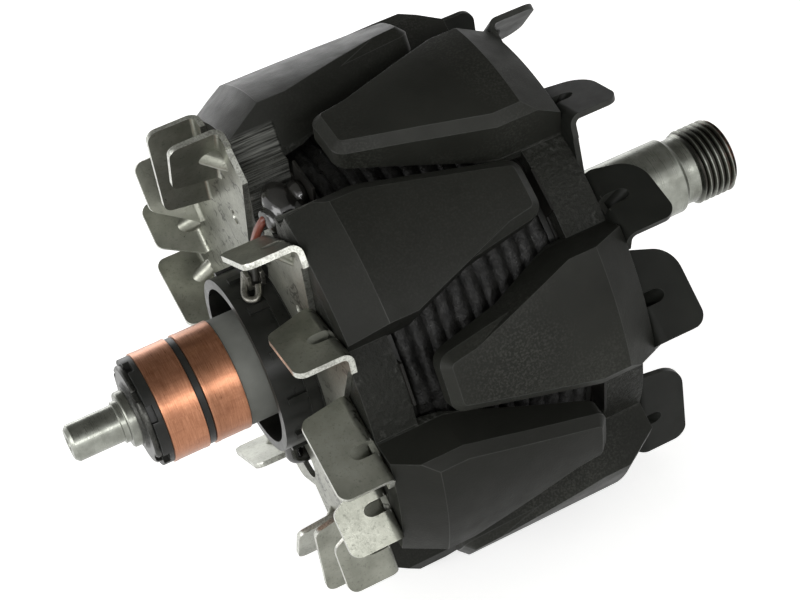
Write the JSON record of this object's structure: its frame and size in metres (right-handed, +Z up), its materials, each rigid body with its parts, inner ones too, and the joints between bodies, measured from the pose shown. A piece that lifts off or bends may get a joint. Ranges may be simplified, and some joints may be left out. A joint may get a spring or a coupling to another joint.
{
  "type": "alternator rotor",
  "caption": "Claw-pole alternator rotor on its shaft: two interleaved pole pieces round a field coil, a bladed fan at each end, two slip rings and a threaded drive end.",
  "frame": {"origin": "middle of the drive-end bearing seat, on the shaft's axis", "axes": "+X along the shaft towards the threaded drive end; +Z up as pictured; -Y towards the viewer"},
  "size_m": [0.1548, 0.1094, 0.1094],
  "materials": {
    "shaft_steel": "ground, with fine turning marks",
    "claw_paint": "satin black, worn thin on the edges",
    "fan_paint": "satin black",
    "fan_steel": "bare rolled sheet, dull, with bright edges",
    "core_steel": "machined",
    "winding": "varnished copper wire",
    "tape": "varnished tape",
    "board": "insulating board",
    "bobbin": "moulded",
    "track_copper": "polished round by the brushes",
    "moulding_black": "moulded",
    "collar_grey": "moulded, matte",
    "cup_black": "moulded, rubbed grey on the rim",
    "terminal": "dull strip",
    "sleeving": "varnished sleeving",
    "washer_steel": "pressed"
  },
  "bodies": {
    "root": {"shaft": "shaft_steel", "drive_spacer": "shaft_steel", "front_fan": "fan_paint", "front_pole_piece": "claw_paint", "front_insulator": "board", "pole_core": "core_steel", "coil_bobbin": "bobbin", "field_coil": "winding", "coil_wrap": "tape", "rear_insulator": "board", "rear_pole_piece": "claw_paint", "rear_fan": "fan_steel", "lead_cup": "cup_black", "lead_sleeve_start": "sleeving", "lead_sleeve_finish": "sleeving", "slip_ring_moulding": "moulding_black", "conductor_outer": "terminal", "conductor_inner": "terminal", "spacer_collar": "collar_grey", "inner_slip_ring": "track_copper", "outer_slip_ring": "track_copper", "end_ring": "moulding_black", "retaining_washer": "washer_steel"}
  },
  "joints": []
}
